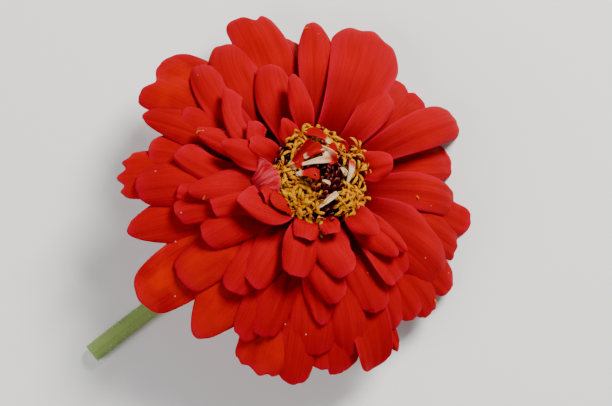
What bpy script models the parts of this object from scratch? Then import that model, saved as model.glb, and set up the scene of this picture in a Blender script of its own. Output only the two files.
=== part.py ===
"""A double zinnia bloom, picked with a short stem and laid on a surface.

The stem lies along the surface and turns up at its neck, so the head looks up and leans a little
away from the stem, onto the tips of its outermost petals. Every petal is a ray floret with its base
on the receptacle. The petals are stacked in levels: each level is a bowl-shaped surface round the
head's axis, no two levels cross, and a petal is a patch of its level.
"""

import math
from collections import namedtuple

import bmesh
import bpy
from mathutils import Matrix, Vector

MM = 0.001
# Points of a mesh that are nearer to each other than this are one point.
MERGE_DISTANCE = 0.01 * MM

# The pose of the head. Its axis leans from the vertical towards LEAN_AZIMUTH.
LEAN = math.radians(18.3)
LEAN_AZIMUTH = math.radians(23.4)
HEAD_PLACE = Vector((4.65, -1.0, 17.5)) * MM

# The receptacle, from its flat top down to the neck: height on the head's axis, and radius.
RECEPTACLE = (
    (15.0, 8.3),
    (14.2, 8.7),
    (9.0, 9.0),
    (3.0, 9.0),
    (0.5, 8.6),
    (-1.6, 7.3),
    (-3.5, 5.4),
    (-5.2, 3.5),
)

# The stem, from the neck to its cut end.
STEM_RADIUS = 2.25
NECK_RADIUS = 2.9
STEM_AZIMUTH = math.radians(214.0)
STEM_END_TURN = math.radians(5.0)
NECK_HANDLE = 7.0
FOOT_HANDLE = 12.0
FOOT_REACH = 17.0
STEM_RUN = 42.0
NECK_STEPS = 12
RUN_STEPS = 9
# How many times over the neck's length its thinning to the stem would fit.
NECK_TAPER = 1.5
STEM_BEVEL_RESOLUTION = 8

# The levels of the petals: each pair is the value on the lowest level and on the highest.
LEVELS = 12
BASE_HEIGHT = (2.3, 14.6)
BASE_RADIUS = (9.6, 9.3)
BASE_SLOPE = (math.radians(20), math.radians(62))
CURL_PER_MM = (math.radians(1.45), math.radians(4.6))
# On the side that the head leans to, the low petals bend down onto the surface.
REST_DROOP = 0.20
REST_AZIMUTH = math.radians(25)

PETAL_THICKNESS = 0.36
PETAL_COLUMNS = 4
PETAL_ROWS = 6
# A petal's outline, as parts of its greatest width and of its length.
CLAW_WIDTH = 0.30
CLAW_FULLNESS = 0.8
WIDEST_AT = 0.66
TIP_WIDTH = 0.64
TIP_ROUNDING = 0.15

# Each petal: level, azimuth round the head in degrees, length and greatest width in mm, and the
# share by which it curls less than its level. Nothing stands over the outer part of those that do.
Petal = namedtuple("Petal", "level azimuth length width ease", defaults=(0.0,))
PETALS = {
    "rim": (
        Petal(2, 4, 32, 8.2),
        Petal(0, 18.5, 35.5, 7.4),
        Petal(3, 29.5, 39.5, 9.4, 0.25),
        Petal(0, 39.5, 35, 8.0),
        Petal(1, 49, 34, 8.0),
        Petal(2, 84, 38.5, 7.4, 0.20),
        Petal(0, 103, 40.5, 11.4, 0.06),
        Petal(2, 115, 33, 10.1),
        Petal(0, 134, 38, 10.6),
        Petal(1, 144, 37, 10.1),
        Petal(2, 155, 34, 7.2),
        Petal(0, 176, 35, 10.1),
        Petal(1, 195, 34, 9.7),
        Petal(0, 215, 38, 12.0),
        Petal(1, 235, 34.5, 11.2),
        Petal(0, 257, 36, 11.4),
        Petal(1, 268, 36.5, 7.6),
        Petal(2, 276, 30, 10.6),
        Petal(0, 280, 33, 7.8),
        Petal(1, 295, 36, 8.4),
        Petal(2, 307, 30, 7.4),
        Petal(1, 323, 34.5, 8.0),
        Petal(0, 335, 35, 8.0),
        Petal(1, 348, 34, 8.0),
        Petal(0, 358, 37.5, 7.6, 0.02),
    ),
    "lower": (
        Petal(3, 66, 41, 13.8, 0.20),
        Petal(3, 129, 31, 6.4),
        Petal(3, 151, 26, 6.2),
        Petal(3, 181, 32, 9.5),
        Petal(3, 218, 29.5, 9.6),
        Petal(3, 257, 28.5, 7.8),
        Petal(3, 335, 33, 13.4),
    ),
    "middle": (
        Petal(4, 107, 23, 7.6),
        Petal(4, 168, 23.5, 5.6),
        Petal(4, 195, 24.5, 6.8),
        Petal(4, 234, 24, 8.0),
        Petal(4, 275, 24.5, 8.0),
        Petal(4, 298, 23.5, 8.0),
    ),
    "upper": (
        Petal(5, 51, 23.5, 7.8),
        Petal(5, 158, 21, 5.4),
        Petal(5, 210, 21.5, 8.2),
        Petal(5, 239, 20.5, 7.8),
        Petal(5, 314, 21, 7.0),
        Petal(6, 188, 22, 7.9),
        Petal(6, 277, 20.5, 6.8),
    ),
    "crown": (
        Petal(7, 317, 17.5, 7.0),
        Petal(8, 143, 11.5, 5.2),
        Petal(8, 166, 16, 6.0),
        Petal(8, 255, 16.5, 7.9),
        Petal(8, 284, 15.5, 8.6),
        Petal(10, 313, 11, 5.8),
        Petal(10, 254, 9, 5.4),
    ),
}

# The bracts under the head: how many in a whorl, and its profile from base to rim, as height on the
# head's axis and distance off the receptacle.
BRACT_THICKNESS = 0.45
BRACT_SEGMENTS_EACH = 4
BRACT_NOTCH = 1.17
BRACTS = {
    "inner": (9, ((-2.2, 0.55), (-0.8, 0.55), (0.5, 0.6), (1.5, 0.75))),
    "middle": (8, ((-4.2, 0.55), (-2.9, 1.25), (-1.4, 1.4), (-0.2, 1.7))),
    "outer": (7, ((-5.6, 0.55), (-4.7, 1.25), (-3.6, 2.1), (-2.2, 2.5))),
}

# The disc: a low dome of chaff with three clusters of open yellow florets round its edge.
CHAFF_DOME = ((20.0, 0.0), (19.8, 1.7), (19.2, 3.4), (18.0, 5.4), (16.6, 6.5), (15.3, 6.7), (15.3, 0.0))
CHAFF_STEPS = 18
FLORET_RING_RADIUS = 8.85
FLORET_RING_HEIGHT = 17.1
FLORET_RADIUS = 1.75
FLORET_WAIST = 0.78
FLORET_SPACING = math.radians(11)
FLORET_BEVEL_RESOLUTION = 2
# Each cluster: its first azimuth in degrees and how many florets stand in it.
FLORETS = {"left": (165, 10), "top": (62, 6), "right": (-42, 8)}

# Each material: its colour and roughness.
MATERIALS = {
    "petal red": ((0.78, 0.008, 0.012, 1), 0.6),
    "stem green": ((0.22, 0.36, 0.08, 1), 0.6),
    "bract green": ((0.10, 0.20, 0.04, 1), 0.65),
    "chaff maroon": ((0.10, 0.004, 0.012, 1), 0.6),
    "floret yellow": ((0.95, 0.50, 0.02, 1), 0.55),
}


def blend(pair, share):
    """The value that lies the given share of the way between the pair."""
    return pair[0] + (pair[1] - pair[0]) * share


def smooth(share):
    """Eases from 0 to 1."""
    share = min(max(share, 0.0), 1.0)
    return share * share * (3 - 2 * share)


def clear_scene():
    """Removes every object that is there at the start."""
    for obj in list(bpy.data.objects):
        bpy.data.objects.remove(obj, do_unlink=True)


def make_collection(name):
    """A new collection in the scene."""
    collection = bpy.data.collections.new(name)
    bpy.context.scene.collection.children.link(collection)
    return collection


def make_material(name):
    """The named material, with its constants on its shader."""
    color, roughness = MATERIALS[name]
    material = bpy.data.materials.new(name)
    material.use_nodes = True
    shader = material.node_tree.nodes["Principled BSDF"]
    shader.inputs["Base Color"].default_value = color
    shader.inputs["Roughness"].default_value = roughness
    shader.inputs["Metallic"].default_value = 0.0
    material.diffuse_color = color
    return material


def make_head(collection):
    """The empty that the head hangs on: its origin is where the lowest petals leave, +Z is the axis."""
    head = bpy.data.objects.new("head", None)
    collection.objects.link(head)
    head.matrix_world = (
        Matrix.Translation(HEAD_PLACE)
        @ Matrix.Rotation(LEAN_AZIMUTH, 4, "Z")
        @ Matrix.Rotation(LEAN, 4, "Y")
        @ Matrix.Rotation(-LEAN_AZIMUTH, 4, "Z")
    )
    return head


def add_object(name, data, material, collection, parent=None):
    """A new object with its material, in the collection and on its parent."""
    obj = bpy.data.objects.new(name, data)
    obj.data.materials.append(material)
    collection.objects.link(obj)
    obj.parent = parent
    return obj


def level_share(level):
    """Where a level lies from the lowest, 0, to the highest, 1."""
    return level / (LEVELS - 1)


def level_point(level, azimuth, run, ease):
    """Radius and height, in mm on the head's axis, at a run along a level's arc."""
    share = level_share(level)
    towards_rest = 0.5 + 0.5 * math.cos(azimuth - REST_AZIMUTH)
    curl = blend(CURL_PER_MM, share) * (1 + REST_DROOP * (1 - share) * towards_rest) * (1 - ease)
    slope = blend(BASE_SLOPE, share)
    radius = blend(BASE_RADIUS, share) + (math.sin(slope) - math.sin(slope - curl * run)) / curl
    height = blend(BASE_HEIGHT, share) + (math.cos(slope - curl * run) - math.cos(slope)) / curl
    return radius, height


def petal_width(share):
    """The petal's width at a share of its length, as a part of its greatest width."""
    if share < WIDEST_AT:
        return CLAW_WIDTH + (1 - CLAW_WIDTH) * smooth(share / WIDEST_AT) ** CLAW_FULLNESS
    return 1 - (1 - TIP_WIDTH) * ((share - WIDEST_AT) / (1 - WIDEST_AT)) ** 2


def petal_mesh(name, petal):
    """One petal that points along +X, as an open sheet."""
    sheet = bmesh.new()
    bmesh.ops.create_grid(sheet, x_segments=PETAL_ROWS, y_segments=PETAL_COLUMNS, size=0.5)
    for vert in sheet.verts:
        along = vert.co.x + 0.5
        across = 2 * vert.co.y
        run = petal.length * along * (1 - TIP_ROUNDING * across * across * along)
        radius, height = level_point(petal.level, math.radians(petal.azimuth), run, petal.ease)
        angle = across * petal.width * petal_width(along) / 2 / radius
        vert.co = Vector((radius * math.cos(angle), radius * math.sin(angle), height)) * MM
    mesh = bpy.data.meshes.new(name)
    sheet.to_mesh(mesh)
    sheet.free()
    mesh.shade_smooth()
    return mesh


def thicken(obj, thickness):
    """Gives an open sheet a thickness in mm, half to each side."""
    solidify = obj.modifiers.new("thickness", "SOLIDIFY")
    solidify.thickness = thickness * MM
    solidify.offset = 0.0


def build_petals(collection, head, material):
    """Every petal, tier by tier."""
    for tier, petals in PETALS.items():
        for number, petal in enumerate(petals, start=1):
            name = f"petal_{tier}_{number:02d}"
            obj = add_object(name, petal_mesh(name, petal), material, collection, head)
            obj.rotation_euler.z = math.radians(petal.azimuth)
            thicken(obj, PETAL_THICKNESS)


def stem_route(head_matrix):
    """The middle line of the receptacle and stem in world space, with the radius at each point."""
    axis = head_matrix.to_3x3() @ Vector((0, 0, 1))
    route = [(head_matrix @ Vector((0, 0, height * MM)), radius) for height, radius in RECEPTACLE]
    neck = route[-1][0]
    away = Vector((math.cos(STEM_AZIMUTH), math.sin(STEM_AZIMUTH), 0))
    foot = Vector((neck.x, neck.y, STEM_RADIUS * MM)) + away * FOOT_REACH * MM
    corners = (neck, neck - axis * NECK_HANDLE * MM, foot - away * FOOT_HANDLE * MM, foot)
    for step in range(1, NECK_STEPS + 1):
        share = step / NECK_STEPS
        weights = ((1 - share) ** 3, 3 * share * (1 - share) ** 2, 3 * share**2 * (1 - share), share**3)
        point = sum((corner * weight for corner, weight in zip(corners, weights)), Vector())
        route.append((point, blend((NECK_RADIUS, STEM_RADIUS), smooth(share * NECK_TAPER))))
    point = foot
    for step in range(1, RUN_STEPS + 1):
        heading = STEM_AZIMUTH + STEM_END_TURN * step / RUN_STEPS
        point = point + Vector((math.cos(heading), math.sin(heading), 0)) * STEM_RUN * MM / RUN_STEPS
        route.append((point, STEM_RADIUS))
    return route


def build_stem(collection, head, material):
    """The receptacle and the stem under it, which grew as one piece."""
    curve = bpy.data.curves.new("stem", "CURVE")
    curve.dimensions = "3D"
    curve.bevel_depth = MM
    curve.bevel_resolution = STEM_BEVEL_RESOLUTION
    curve.use_fill_caps = True
    route = stem_route(head.matrix_world)
    spline = curve.splines.new("POLY")
    spline.points.add(len(route) - 1)
    for knot, (point, radius) in zip(spline.points, route):
        knot.co = (*point, 1)
        knot.radius = radius
    add_object("stem", curve, material, collection)


def receptacle_radius(height):
    """The receptacle's radius at a height, between the points of its outline."""
    for (top, top_radius), (bottom, bottom_radius) in zip(RECEPTACLE, RECEPTACLE[1:]):
        if height >= bottom:
            return blend((bottom_radius, top_radius), (height - bottom) / (top - bottom))
    return RECEPTACLE[-1][1]


def bract_mesh(name, count, profile):
    """A whorl of overlapping bracts as one open cup, with a lobe at its rim for each bract."""
    segments = count * BRACT_SEGMENTS_EACH
    cup = bmesh.new()
    bmesh.ops.create_grid(cup, x_segments=segments, y_segments=len(profile) - 1, size=0.5)
    for vert in cup.verts:
        turn = (vert.co.x + 0.5) * math.tau
        row = round((vert.co.y + 0.5) * (len(profile) - 1))
        height, off = profile[row]
        radius = receptacle_radius(height) + off
        if row == len(profile) - 1:
            height -= BRACT_NOTCH * (1 - abs(math.cos(turn * count / 2)))
        vert.co = Vector((radius * math.cos(turn), radius * math.sin(turn), height)) * MM
    bmesh.ops.remove_doubles(cup, verts=cup.verts, dist=MERGE_DISTANCE)
    mesh = bpy.data.meshes.new(name)
    cup.to_mesh(mesh)
    cup.free()
    mesh.shade_smooth()
    return mesh


def build_bracts(collection, head, material):
    """The whorls of bracts."""
    for whorl, (count, profile) in BRACTS.items():
        name = f"bracts_{whorl}"
        obj = add_object(name, bract_mesh(name, count, profile), material, collection, head)
        thicken(obj, BRACT_THICKNESS)


def build_chaff(collection, head, material):
    """The dome of chaff, turned round the head's axis."""
    mesh = bpy.data.meshes.new("disc_chaff")
    points = [Vector((radius, 0, height)) * MM for height, radius in CHAFF_DOME]
    mesh.from_pydata(points, [(i, i + 1) for i in range(len(points) - 1)], [])
    obj = add_object("disc_chaff", mesh, material, collection, head)
    screw = obj.modifiers.new("turn", "SCREW")
    screw.steps = CHAFF_STEPS
    screw.render_steps = CHAFF_STEPS
    screw.use_merge_vertices = True
    screw.merge_threshold = MERGE_DISTANCE
    screw.use_smooth_shade = True


def build_florets(collection, head, material):
    """Each cluster of florets is one knobbly ring segment, with a knob for every floret."""
    for side, (start, count) in FLORETS.items():
        curve = bpy.data.curves.new(f"florets_{side}", "CURVE")
        curve.dimensions = "3D"
        curve.bevel_depth = MM
        curve.bevel_resolution = FLORET_BEVEL_RESOLUTION
        curve.use_fill_caps = True
        spline = curve.splines.new("POLY")
        spline.points.add(2 * count - 2)
        for index, knot in enumerate(spline.points):
            turn = math.radians(start) + FLORET_SPACING * index / 2
            knob = index % 2 == 0
            knot.co = (
                FLORET_RING_RADIUS * math.cos(turn) * MM,
                FLORET_RING_RADIUS * math.sin(turn) * MM,
                FLORET_RING_HEIGHT * MM,
                1,
            )
            knot.radius = FLORET_RADIUS * (1 if knob else FLORET_WAIST)
        add_object(f"florets_{side}", curve, material, collection, head)


def main():
    """Builds the flower."""
    clear_scene()
    collection = make_collection("zinnia")
    head = make_head(collection)
    build_stem(collection, head, make_material("stem green"))
    build_bracts(collection, head, make_material("bract green"))
    build_chaff(collection, head, make_material("chaff maroon"))
    build_florets(collection, head, make_material("floret yellow"))
    build_petals(collection, head, make_material("petal red"))


main()
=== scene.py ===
"""A double zinnia bloom, picked with a short stem and lying on a surface.

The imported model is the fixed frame. Every petal, bract, floret and scale of chaff is modelled here
round the head's own axis, in the place that its solid holds in the frame, and dressed with a
procedural finish. Lengths are in millimetres on the head's axis until a point is placed.
"""

import logging
import math
import random
from dataclasses import dataclass, field, replace
from enum import Enum
from typing import Callable, Dict, Iterable, List, Optional, Sequence, Tuple, Union

import bpy
from mathutils import Matrix, Vector, noise


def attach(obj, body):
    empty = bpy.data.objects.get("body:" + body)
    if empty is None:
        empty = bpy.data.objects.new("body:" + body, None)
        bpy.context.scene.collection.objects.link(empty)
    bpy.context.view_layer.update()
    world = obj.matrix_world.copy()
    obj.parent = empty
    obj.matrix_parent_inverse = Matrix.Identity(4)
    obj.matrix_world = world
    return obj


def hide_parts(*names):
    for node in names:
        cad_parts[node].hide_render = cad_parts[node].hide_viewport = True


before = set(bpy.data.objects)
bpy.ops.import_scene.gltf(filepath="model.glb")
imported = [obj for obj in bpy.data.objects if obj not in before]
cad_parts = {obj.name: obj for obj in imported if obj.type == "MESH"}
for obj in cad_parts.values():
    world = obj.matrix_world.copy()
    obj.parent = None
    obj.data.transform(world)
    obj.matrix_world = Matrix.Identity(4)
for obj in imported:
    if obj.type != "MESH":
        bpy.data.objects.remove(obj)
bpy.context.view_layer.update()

MM = 0.001
UP = Vector((0, 0, 1))
GOLDEN_ANGLE = math.radians(137.5)
LOG = logging.getLogger("zinnia")

Pair = Tuple[float, float]
Triple = Tuple[float, float, float]
Color = Tuple[float, float, float, float]
Mesh = bpy.types.Mesh
Object = bpy.types.Object
Material = bpy.types.Material
Node = bpy.types.Node
NodeTree = bpy.types.NodeTree
Socket = bpy.types.NodeSocket


def blend(pair: Pair, share: float) -> float:
    """Returns the value that lies the given share of the way between the pair."""
    return pair[0] + (pair[1] - pair[0]) * share


def smooth(share: float) -> float:
    """Returns the share eased from 0 to 1."""
    share = min(max(share, 0.0), 1.0)
    return share * share * (3 - 2 * share)


def wander(x: float, y: float, z: float) -> float:
    """Returns smooth noise, from -1 to 1, at a place."""
    return noise.noise(Vector((x, y, z)))


def polar(radius: float, azimuth: float, height: float = 0.0) -> Vector:
    """Returns the point at a radius, an azimuth in radians and a height."""
    return Vector((radius * math.cos(azimuth), radius * math.sin(azimuth), height))


# ---- The head's pose and the levels that its petals lie on ----


@dataclass(frozen=True)
class HeadPose:
    """Where the head is: the lean of its axis, the azimuth that it leans to, and its origin."""

    lean: float = math.radians(18.3)
    lean_azimuth: float = math.radians(23.4)
    place: Vector = field(default_factory=lambda: Vector((4.65, -1.0, 17.5)) * MM)

    @property
    def matrix(self) -> Matrix:
        """The transform from the head's own space, in metres, to the frame.

        Returns:
            The matrix.
        """
        return (
            Matrix.Translation(self.place)
            @ Matrix.Rotation(self.lean_azimuth, 4, "Z")
            @ Matrix.Rotation(self.lean, 4, "Y")
            @ Matrix.Rotation(-self.lean_azimuth, 4, "Z")
        )

    def point(self, radius: float, azimuth: float, height: float) -> Vector:
        """Places a point of the head.

        Args:
            radius: Distance from the head's axis in mm.
            azimuth: Direction round the axis in radians.
            height: Height on the axis in mm.

        Returns:
            The point in the frame, in metres.
        """
        return self.matrix @ (polar(radius, azimuth, height) * MM)


@dataclass(frozen=True)
class Levels:
    """The stack of bowl-shaped surfaces that the petals lie on, as the frame's solids do."""

    count: int = 12
    base_height: Pair = (2.3, 14.6)
    base_radius: Pair = (9.6, 9.3)
    base_slope: Pair = (math.radians(20), math.radians(62))
    curl_per_mm: Pair = (math.radians(1.45), math.radians(4.6))
    rest_droop: float = 0.20
    rest_azimuth: float = math.radians(25)

    def point(self, level: float, azimuth: float, run: float, ease: float = 0.0) -> Triple:
        """Follows a level's arc outwards.

        Args:
            level: The level, from 0 at the rim to count - 1 at the disc.
            azimuth: Direction round the axis in radians.
            run: Length along the arc in mm.
            ease: The share by which this petal curls less than its level.

        Returns:
            Radius and height in mm, and the slope there in radians.
        """
        share = level / (self.count - 1)
        towards_rest = 0.5 + 0.5 * math.cos(azimuth - self.rest_azimuth)
        curl = blend(self.curl_per_mm, share) * (1 + self.rest_droop * (1 - share) * towards_rest)
        curl *= 1 - ease
        start = blend(self.base_slope, share)
        slope = start - curl * run
        radius = blend(self.base_radius, share) + (math.sin(start) - math.sin(slope)) / curl
        height = blend(self.base_height, share) + (math.cos(slope) - math.cos(start)) / curl
        return radius, height, slope


POSE = HeadPose()
LEVELS = Levels()


# ---- Small tools for meshes ----


def deselect() -> None:
    """Leaves nothing selected."""
    for obj in bpy.context.selected_objects:
        obj.select_set(False)


def activate(obj: Object) -> None:
    """Makes one object the selected and active one.

    Args:
        obj: The object.
    """
    deselect()
    obj.select_set(True)
    bpy.context.view_layer.objects.active = obj


def added(name: str) -> Object:
    """Takes the primitive that was just added, under its own name.

    Args:
        name: The name.

    Returns:
        The object.
    """
    obj = bpy.context.active_object
    obj.name = name
    obj.data.name = name
    return obj


def apply_modifier(obj: Object, kind: str, **values: object) -> None:
    """Adds a modifier with its values and applies it.

    Args:
        obj: The piece.
        kind: The modifier's type.
        values: Its settings.
    """
    activate(obj)
    modifier = obj.modifiers.new(kind.lower(), kind)
    for key, value in values.items():
        setattr(modifier, key, value)
    bpy.ops.object.modifier_apply(modifier=modifier.name)


def thicken(obj: Object, thickness: float, levels: int = 0, **settings: object) -> None:
    """Gives a sheet its thickness.

    Args:
        obj: The sheet.
        thickness: Its wall in mm.
        levels: How often it is subdivided after that.
        settings: Other settings of the wall.
    """
    apply_modifier(obj, "SOLIDIFY", thickness=thickness * MM, offset=0.0, **settings)
    if levels:
        apply_modifier(obj, "SUBSURF", levels=levels, render_levels=levels)


def cut_rings(obj: Object, cuts: int) -> None:
    """Cuts the walls of a standing cylinder of unit height into rings.

    Args:
        obj: The cylinder.
        cuts: How many rings lie between its ends.
    """
    activate(obj)
    bpy.ops.object.mode_set(mode="EDIT")
    bpy.ops.mesh.select_mode(type="EDGE")
    bpy.ops.mesh.select_all(action="DESELECT")
    bpy.ops.object.mode_set(mode="OBJECT")
    heights = [vert.co.z for vert in obj.data.vertices]
    for edge in obj.data.edges:
        low, high = edge.vertices
        edge.select = abs(heights[low] - heights[high]) > 0.5
    bpy.ops.object.mode_set(mode="EDIT")
    bpy.ops.mesh.subdivide(number_cuts=cuts)
    bpy.ops.object.mode_set(mode="OBJECT")


def face_outwards(obj: Object) -> None:
    """Turns the faces of a closed mesh outwards.

    Args:
        obj: The piece.
    """
    activate(obj)
    bpy.ops.object.mode_set(mode="EDIT")
    bpy.ops.mesh.select_all(action="SELECT")
    bpy.ops.mesh.normals_make_consistent(inside=False)
    bpy.ops.object.mode_set(mode="OBJECT")


def finish_mesh(obj: Object, materials: Sequence[Material]) -> Object:
    """Shades a piece smooth and gives it its materials.

    Args:
        obj: The piece.
        materials: One for each material slot.

    Returns:
        The same piece.
    """
    obj.data.shade_smooth()
    obj.data.materials.clear()
    for material in materials:
        obj.data.materials.append(material)
    return obj


def new_sheet(name: str, cells: Tuple[int, int]) -> Tuple[Object, List[Pair]]:
    """Adds a flat sheet to be shaped.

    Args:
        name: Its name.
        cells: How many cells lie along it and across it.

    Returns:
        The sheet, and for each vertex its place across, from -1 to 1, and along, from 0 to 1.
    """
    deselect()
    bpy.ops.mesh.primitive_grid_add(x_subdivisions=cells[0], y_subdivisions=cells[1], size=1.0)
    sheet = added(name)
    return sheet, [(2 * vert.co.y, vert.co.x + 0.5) for vert in sheet.data.vertices]


def mark_tissue(mesh: Mesh, **values: Union[float, Iterable[float]]) -> None:
    """Names the UV map and stores what the finishes read at each point.

    Args:
        mesh: The mesh.
        values: By attribute name, one number for all the points or one for each.
    """
    mesh.uv_layers[0].name = "tissue"
    for name, value in values.items():
        attribute = mesh.attributes.new(name, "FLOAT", "POINT")
        each = [value] * len(mesh.vertices) if isinstance(value, float) else list(value)
        attribute.data.foreach_set("value", each)


def copied(model: Object) -> Object:
    """Copies a model with its own mesh.

    Args:
        model: The model.

    Returns:
        The copy.
    """
    twin = model.copy()
    twin.data = model.data.copy()
    bpy.context.scene.collection.objects.link(twin)
    return twin


def joined(name: str, parts: List[Object]) -> Object:
    """Joins several objects into one piece.

    Args:
        name: The piece's name.
        parts: The objects, which are used up.

    Returns:
        The piece.
    """
    deselect()
    for part in parts:
        part.select_set(True)
    bpy.context.view_layer.objects.active = parts[0]
    bpy.ops.object.join()
    return added(name)


def place_piece(obj: Object, slot: str, *nodes: str) -> Object:
    """Ties a piece to the frame.

    Args:
        obj: The piece.
        slot: The material slot that it is meant for; not used.
        nodes: The solids that it stands for.

    Returns:
        The same piece.
    """
    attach(obj, "root")
    if nodes:
        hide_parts(*nodes)
    return obj


# ---- Finishes ----


class NodeGraph:
    """A thin wrapper that adds nodes to a tree and links them by socket name."""

    def __init__(self, tree: NodeTree) -> None:
        """Starts on a tree."""
        self.tree = tree

    def add(self, kind: str, inputs: Optional[Dict[object, object]] = None, **settings: object) -> Node:
        """Adds a node.

        Args:
            kind: The node's type.
            inputs: Socket to value or to the output that feeds it.
            settings: The node's own properties.

        Returns:
            The node.
        """
        node = self.tree.nodes.new(kind)
        for key, value in settings.items():
            setattr(node, key, value)
        for key, value in (inputs or {}).items():
            if isinstance(value, Socket):
                self.tree.links.new(value, node.inputs[key])
            else:
                node.inputs[key].default_value = value
        return node

    def math(self, operation: str, *values: object) -> Socket:
        """Adds a math node on values or outputs and returns its output."""
        return self.add("ShaderNodeMath", dict(enumerate(values)), operation=operation).outputs[0]

    def group(self, tree: NodeTree, inputs: Dict[object, object]) -> Node:
        """Adds a node group with its inputs and returns its node."""
        return self.add("ShaderNodeGroup", inputs, node_tree=tree)

    def product(self, *factors: object) -> Socket:
        """Multiplies two or more factors.

        Args:
            factors: Values or outputs.

        Returns:
            The output of the last node.
        """
        result = factors[-1]
        for factor in reversed(factors[:-1]):
            result = self.math("MULTIPLY", factor, result)
        return result

    def attribute(self, name: str) -> Socket:
        """Reads one of the numbers that a piece stores at its points."""
        return self.add("ShaderNodeAttribute", attribute_name=name).outputs["Fac"]

    def ranged(self, value: Socket, start: Pair, end: Pair = (0.0, 1.0)) -> Socket:
        """Maps a value from one pair of limits to another and clamps it there."""
        limits = {"From Min": start[0], "From Max": start[1], "To Min": end[0], "To Max": end[1]}
        return self.add("ShaderNodeMapRange", {"Value": value, **limits}).outputs[0]

    def ramp(self, value: Socket, stops: Sequence[Tuple[float, Color]]) -> Socket:
        """Adds a colour ramp.

        Args:
            value: What drives it.
            stops: Position and colour of each stop, in order.

        Returns:
            Its colour output.
        """
        node = self.add("ShaderNodeValToRGB", {"Fac": value})
        elements = node.color_ramp.elements
        while len(elements) < len(stops):
            elements.new(0.5)
        for element, (position, color) in zip(elements, stops):
            element.position = position
            element.color = color
        return node.outputs["Color"]

    def mix(self, share: object, first: object, second: object) -> Socket:
        """Mixes two colours by a share and returns the colour output."""
        return self.add("ShaderNodeMix", {0: share, 6: first, 7: second}, data_type="RGBA").outputs[2]


class GroupLibrary:
    """The effects that several finishes share, each built once as a node group.

    The fibres are given as output, scale, detail and roughness.
    """

    STRETCH = 2.2
    FIBRES = (("Fine", 1.0, 3.0, 0.6), ("Broad", 0.22, 2.0, 0.5))

    def __init__(self) -> None:
        """Starts with no group built."""
        self.built: Dict[str, NodeTree] = {}

    def group(self, name: str, build: Callable[[], NodeTree]) -> NodeTree:
        """Finds the named group, building it when it is first asked for.

        Args:
            name: Its name in the library.
            build: What builds it.

        Returns:
            The group.
        """
        if name not in self.built:
            self.built[name] = build()
        return self.built[name]

    @staticmethod
    def _new_tree(name: str, inputs: Sequence[str], outputs: Sequence[str]) -> NodeTree:
        """Makes an empty group with its sockets, of which UV is a vector and the others are numbers.

        Args:
            name: The group's name.
            inputs: The labels of its inputs.
            outputs: The labels of its outputs.

        Returns:
            The group.
        """
        tree = bpy.data.node_groups.new(name, "ShaderNodeTree")
        for direction, labels in (("INPUT", inputs), ("OUTPUT", outputs)):
            for label in labels:
                kind = "NodeSocketVector" if label == "UV" else "NodeSocketFloat"
                tree.interface.new_socket(label, in_out=direction, socket_type=kind)
        return tree

    def fibres(self) -> NodeTree:
        """Fine lines that run along a petal, bract or scale, from its own UV map.

        Returns:
            The group.
        """

        def build() -> NodeTree:
            """Builds the group.

            Returns:
                The group.
            """
            tree = self._new_tree("tissue_fibres", ("UV", "Lines", "Seed"), ("Fine", "Broad"))
            graph = NodeGraph(tree)
            source = graph.add("NodeGroupInput").outputs
            map_point = graph.add("ShaderNodeSeparateXYZ", {0: source["UV"]}).outputs
            across = graph.product(map_point["Y"], source["Lines"])
            along = graph.product(map_point["X"], self.STRETCH)
            drawn = graph.add("ShaderNodeCombineXYZ", {"X": along, "Y": across, "Z": source["Seed"]})
            noises = {}
            for label, scale, detail, roughness in self.FIBRES:
                values = {"Scale": scale, "Detail": detail, "Roughness": roughness}
                fibre = graph.add("ShaderNodeTexNoise", {"Vector": drawn.outputs[0], **values})
                noises[label] = fibre.outputs["Fac"]
            graph.add("NodeGroupOutput", noises)
            return tree

        return self.group("fibres", build)

    def mottle(self) -> NodeTree:
        """Soft patches and fine cell grain in the piece's own space.

        Returns:
            The group.
        """

        def build() -> NodeTree:
            """Builds the group.

            Returns:
                The group.
            """
            tree = self._new_tree("tissue_mottle", ("Patch", "Cell"), ("Patches", "Cells"))
            graph = NodeGraph(tree)
            source = graph.add("NodeGroupInput").outputs
            place = graph.add("ShaderNodeTexCoord").outputs["Object"]
            soft = {"Vector": place, "Scale": source["Patch"], "Detail": 3.0}
            patches = graph.add("ShaderNodeTexNoise", soft).outputs["Fac"]
            grain = {"Vector": place, "Scale": source["Cell"], "Randomness": 1.0}
            cells = graph.add("ShaderNodeTexVoronoi", grain).outputs["Distance"]
            graph.add("NodeGroupOutput", {"Patches": patches, "Cells": cells})
            return tree

        return self.group("mottle", build)


GROUPS = GroupLibrary()
SEED_STEP = 40.0


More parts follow.
